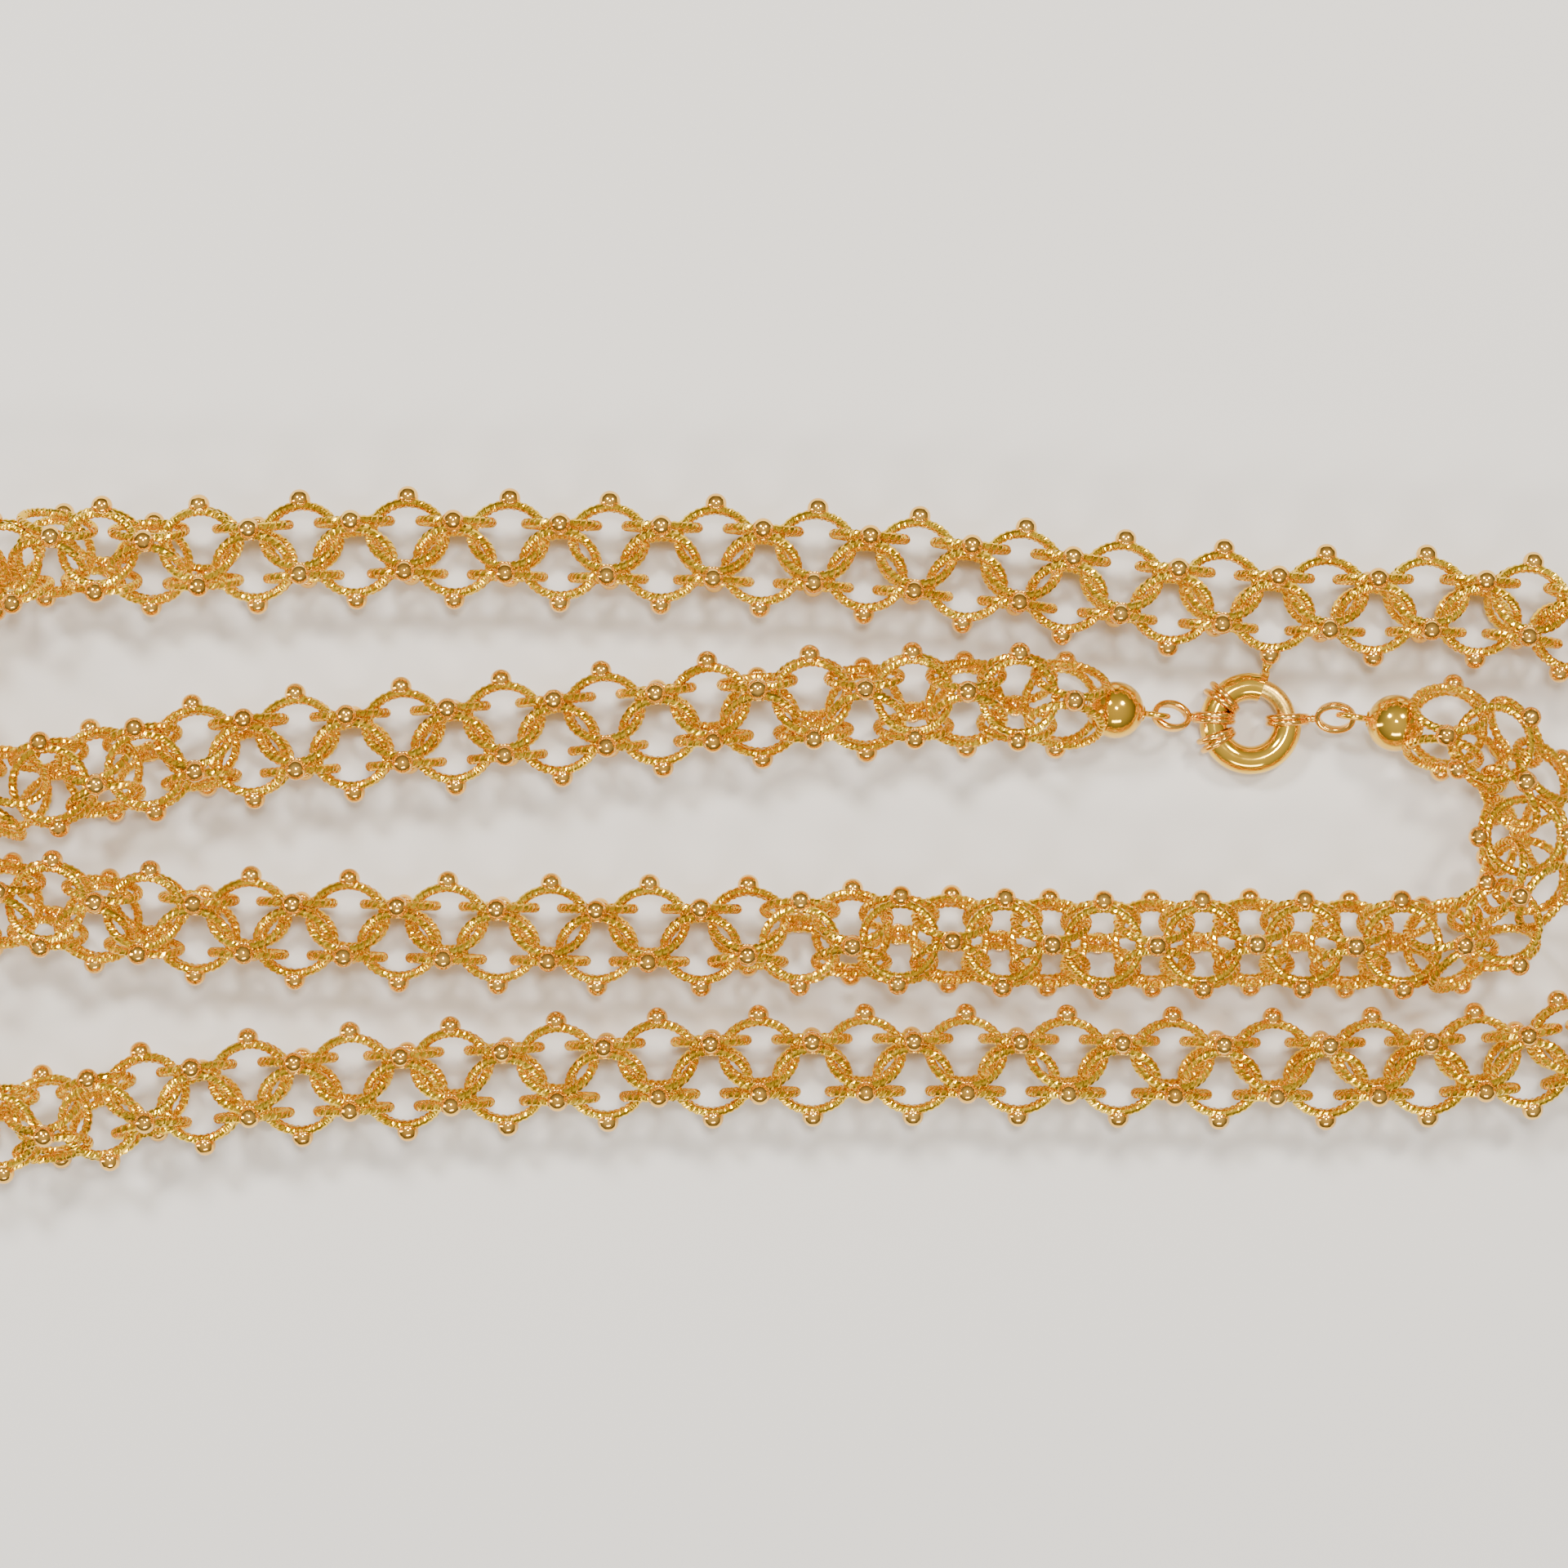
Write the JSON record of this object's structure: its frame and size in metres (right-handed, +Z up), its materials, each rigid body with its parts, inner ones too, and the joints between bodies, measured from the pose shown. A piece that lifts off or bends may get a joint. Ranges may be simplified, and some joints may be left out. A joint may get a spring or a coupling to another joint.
{
  "type": "eyeglasses chain strap",
  "caption": "Long tubular chain of three-ring cage links with soldered balls, closed by a large sprung bolt-ring clasp on beaded end caps.",
  "frame": {"origin": "on the resting surface, straight below the centre of the clasp ring", "axes": "+Z up from the surface, -X along the chain's strands away from the clasp, X and Y in the surface"},
  "size_m": [0.1926, 0.0676, 0.0135],
  "materials": {
    "chain_gold": "diamond-cut gold wire with polished balls",
    "polished_gold": "polished yellow gold",
    "bolt_gold": "drawn matte gold",
    "spring_steel": "bright spring wire"
  },
  "bodies": {
    "clasp": {"clasp_tube": "polished_gold", "upper_collar": "polished_gold", "lower_collar": "polished_gold", "spring_stop": "polished_gold", "bolt_spring": "spring_steel"},
    "bolt": {"bolt": "bolt_gold", "thumb_lever": "polished_gold"},
    "left_connector": {"left_connector": "polished_gold"},
    "right_connector": {"right_connector": "polished_gold"},
    "left_end": {"chain_01": "chain_gold", "left_bead": "polished_gold", "left_bead_loop": "polished_gold"},
    "strand_01": {"chain_02": "chain_gold", "chain_03": "chain_gold"},
    "strand_02": {"chain_04": "chain_gold"},
    "strand_03": {"chain_05": "chain_gold"},
    "strand_04": {"chain_06": "chain_gold"},
    "strand_05": {"chain_07": "chain_gold", "chain_08": "chain_gold", "chain_09": "chain_gold", "chain_10": "chain_gold", "chain_11": "chain_gold", "chain_12": "chain_gold"},
    "strand_06": {"chain_13": "chain_gold"},
    "strand_07": {"chain_14": "chain_gold"},
    "strand_08": {"chain_15": "chain_gold"},
    "strand_09": {"chain_16": "chain_gold"},
    "strand_10": {"chain_17": "chain_gold"},
    "strand_11": {"chain_18": "chain_gold"},
    "strand_12": {"chain_19": "chain_gold"},
    "strand_13": {"chain_20": "chain_gold", "chain_21": "chain_gold", "chain_22": "chain_gold", "chain_23": "chain_gold", "chain_24": "chain_gold"},
    "strand_14": {"chain_25": "chain_gold"},
    "strand_15": {"chain_26": "chain_gold"},
    "strand_16": {"chain_27": "chain_gold"},
    "strand_17": {"chain_28": "chain_gold"},
    "strand_18": {"chain_29": "chain_gold"},
    "strand_19": {"chain_30": "chain_gold"},
    "strand_20": {"chain_31": "chain_gold"},
    "strand_21": {"chain_32": "chain_gold", "chain_33": "chain_gold", "chain_34": "chain_gold", "chain_35": "chain_gold", "chain_36": "chain_gold", "chain_37": "chain_gold"},
    "strand_22": {"chain_38": "chain_gold"},
    "strand_23": {"chain_39": "chain_gold"},
    "strand_24": {"chain_40": "chain_gold"},
    "strand_25": {"chain_41": "chain_gold"},
    "strand_26": {"chain_42": "chain_gold"},
    "strand_27": {"chain_43": "chain_gold"},
    "strand_28": {"chain_44": "chain_gold"},
    "strand_29": {"chain_45": "chain_gold", "chain_46": "chain_gold", "chain_47": "chain_gold", "right_bead": "polished_gold", "right_bead_loop": "polished_gold"}
  },
  "joints": [
    {"name": "bolt_slide", "type": "hinge", "parent": "clasp", "child": "bolt", "pos_m": [0, 0, 0.00225], "axis": [0, 0, 1], "range_deg": [0, 50], "deforming": ["bolt_spring"]},
    {"name": "left_connector_swing", "type": "hinge", "parent": "clasp", "child": "left_connector", "pos_m": [-0.00359, 0.00051, 0.00225], "axis": [0, 1, 0], "range_deg": [0, 7]},
    {"name": "left_bead_swing", "type": "hinge", "parent": "left_connector", "child": "left_end", "pos_m": [-0.00951, 0.00078, 0.00449], "axis": [0, 1, 0], "range_deg": [-10.74, 0]},
    {"name": "right_connector_swing", "type": "hinge", "parent": "clasp", "child": "right_connector", "pos_m": [0.00361, 0.00032, 0.00225], "axis": [0, -1, 0], "range_deg": [0, 1.35]},
    {"name": "first_link_bend", "type": "hinge", "parent": "left_end", "child": "strand_01", "pos_m": [-0.02062, 0.00205, 0.00577], "axis": [0, 1, 0], "range_deg": [0, 3.74]},
    {"name": "upper_left_bend_1", "type": "hinge", "parent": "strand_01", "child": "strand_02", "pos_m": [-0.05019, 0.00122, 0.00547], "axis": [0, 1, 0], "range_deg": [0, 10]},
    {"name": "upper_left_bend_2", "type": "hinge", "parent": "strand_02", "child": "strand_03", "pos_m": [-0.06509, -0.00009, 0.00532], "axis": [0, 1, 0], "range_deg": [0, 10]},
    {"name": "upper_left_bend_3", "type": "hinge", "parent": "strand_03", "child": "strand_04", "pos_m": [-0.07999, -0.0013, 0.00532], "axis": [0, 1, 0], "range_deg": [0, 10]},
    {"name": "upper_left_bend_4", "type": "hinge", "parent": "strand_04", "child": "strand_05", "pos_m": [-0.09488, -0.00227, 0.00541], "axis": [0, 1, 0], "range_deg": [0, 10]},
    {"name": "upper_left_bend_4_return", "type": "hinge", "parent": "strand_05", "child": "strand_06", "pos_m": [-0.09488, 0.01661, 0.00541], "axis": [0, 1, 0], "range_deg": [-10, 0]},
    {"name": "upper_left_bend_3_return", "type": "hinge", "parent": "strand_06", "child": "strand_07", "pos_m": [-0.07999, 0.017, 0.00532], "axis": [0, 1, 0], "range_deg": [-10, 0]},
    {"name": "upper_left_bend_2_return", "type": "hinge", "parent": "strand_07", "child": "strand_08", "pos_m": [-0.06509, 0.01663, 0.00532], "axis": [0, 1, 0], "range_deg": [-10, 0]},
    {"name": "upper_left_bend_1_return", "type": "hinge", "parent": "strand_08", "child": "strand_09", "pos_m": [-0.05019, 0.01624, 0.00547], "axis": [0, 1, 0], "range_deg": [-10, 0]},
    {"name": "right_bend_1", "type": "hinge", "parent": "strand_09", "child": "strand_10", "pos_m": [-0.03529, 0.01532, 0.00532], "axis": [0, -1, 0], "range_deg": [0, 10]},
    {"name": "right_bend_2", "type": "hinge", "parent": "strand_10", "child": "strand_11", "pos_m": [-0.02043, 0.01375, 0.00532], "axis": [0, -1, 0], "range_deg": [0, 10]},
    {"name": "right_bend_3", "type": "hinge", "parent": "strand_11", "child": "strand_12", "pos_m": [-0.00557, 0.01215, 0.00532], "axis": [0, -1, 0], "range_deg": [0, 10]},
    {"name": "right_bend_4", "type": "hinge", "parent": "strand_12", "child": "strand_13", "pos_m": [0.0093, 0.0114, 0.00532], "axis": [0, -1, 0], "range_deg": [0, 10]},
    {"name": "right_bend_4_return", "type": "hinge", "parent": "strand_13", "child": "strand_14", "pos_m": [0.0093, -0.03356, 0.00532], "axis": [0, -1, 0], "range_deg": [-10, 0]},
    {"name": "right_bend_3_return", "type": "hinge", "parent": "strand_14", "child": "strand_15", "pos_m": [-0.00557, -0.03351, 0.00532], "axis": [0, -1, 0], "range_deg": [-10, 0]},
    {"name": "right_bend_2_return", "type": "hinge", "parent": "strand_15", "child": "strand_16", "pos_m": [-0.02043, -0.03328, 0.00532], "axis": [0, -1, 0], "range_deg": [-10, 0]},
    {"name": "right_bend_1_return", "type": "hinge", "parent": "strand_16", "child": "strand_17", "pos_m": [-0.03529, -0.03321, 0.00532], "axis": [0, -1, 0], "range_deg": [-10, 0]},
    {"name": "lower_left_bend_1", "type": "hinge", "parent": "strand_17", "child": "strand_18", "pos_m": [-0.05084, -0.03339, 0.00543], "axis": [0, 1, 0], "range_deg": [0, 10]},
    {"name": "lower_left_bend_2", "type": "hinge", "parent": "strand_18", "child": "strand_19", "pos_m": [-0.0656, -0.03387, 0.00532], "axis": [0, 1, 0], "range_deg": [0, 10]},
    {"name": "lower_left_bend_3", "type": "hinge", "parent": "strand_19", "child": "strand_20", "pos_m": [-0.08036, -0.03457, 0.00532], "axis": [0, 1, 0], "range_deg": [0, 10]},
    {"name": "lower_left_bend_4", "type": "hinge", "parent": "strand_20", "child": "strand_21", "pos_m": [-0.09511, -0.03541, 0.00532], "axis": [0, 1, 0], "range_deg": [0, 10]},
    {"name": "lower_left_bend_4_return", "type": "hinge", "parent": "strand_21", "child": "strand_22", "pos_m": [-0.09511, -0.0199, 0.00532], "axis": [0, 1, 0], "range_deg": [-10, 0]},
    {"name": "lower_left_bend_3_return", "type": "hinge", "parent": "strand_22", "child": "strand_23", "pos_m": [-0.08036, -0.02029, 0.00532], "axis": [0, 1, 0], "range_deg": [-10, 0]},
    {"name": "lower_left_bend_2_return", "type": "hinge", "parent": "strand_23", "child": "strand_24", "pos_m": [-0.0656, -0.02056, 0.00532], "axis": [0, 1, 0], "range_deg": [-10, 0]},
    {"name": "lower_left_bend_1_return", "type": "hinge", "parent": "strand_24", "child": "strand_25", "pos_m": [-0.05084, -0.02064, 0.00543], "axis": [0, 1, 0], "range_deg": [-10, 0]},
    {"name": "front_arch", "type": "hinge", "parent": "strand_25", "child": "strand_26", "pos_m": [-0.03674, -0.02083, 0.00597], "axis": [0, -1, 0], "range_deg": [0, 5]},
    {"name": "front_arch_top", "type": "hinge", "parent": "strand_26", "child": "strand_27", "pos_m": [-0.02212, -0.02132, 0.00597], "axis": [0, -1, 0], "range_deg": [-10.01, 0]},
    {"name": "front_arch_end", "type": "hinge", "parent": "strand_27", "child": "strand_28", "pos_m": [-0.00749, -0.02146, 0.00597], "axis": [0, -1, 0], "range_deg": [0, 5.01]},
    {"name": "inner_turn_lift", "type": "hinge", "parent": "strand_28", "child": "strand_29", "pos_m": [0.0084, -0.0215, 0.0052], "axis": [0, -1, 0], "range_deg": [0, 6]}
  ],
  "couplings": [
    {"joint": "upper_left_bend_1_return", "follows": "upper_left_bend_1", "ratio": -1},
    {"joint": "upper_left_bend_2_return", "follows": "upper_left_bend_2", "ratio": -1},
    {"joint": "upper_left_bend_3_return", "follows": "upper_left_bend_3", "ratio": -1},
    {"joint": "upper_left_bend_4_return", "follows": "upper_left_bend_4", "ratio": -1},
    {"joint": "right_bend_1_return", "follows": "right_bend_1", "ratio": -1},
    {"joint": "right_bend_2_return", "follows": "right_bend_2", "ratio": -1},
    {"joint": "right_bend_3_return", "follows": "right_bend_3", "ratio": -1},
    {"joint": "right_bend_4_return", "follows": "right_bend_4", "ratio": -1},
    {"joint": "lower_left_bend_1_return", "follows": "lower_left_bend_1", "ratio": -1},
    {"joint": "lower_left_bend_2_return", "follows": "lower_left_bend_2", "ratio": -1},
    {"joint": "lower_left_bend_3_return", "follows": "lower_left_bend_3", "ratio": -1},
    {"joint": "lower_left_bend_4_return", "follows": "lower_left_bend_4", "ratio": -1},
    {"joint": "left_bead_swing", "follows": "left_connector_swing", "ratio": -1.5327},
    {"joint": "right_connector_swing", "follows": "inner_turn_lift", "ratio": 0.22333},
    {"joint": "first_link_bend", "follows": "left_connector_swing", "ratio": 0.53273},
    {"joint": "front_arch_top", "follows": "front_arch", "ratio": -1.9998},
    {"joint": "front_arch_end", "follows": "front_arch", "ratio": 0.99975}
  ]
}
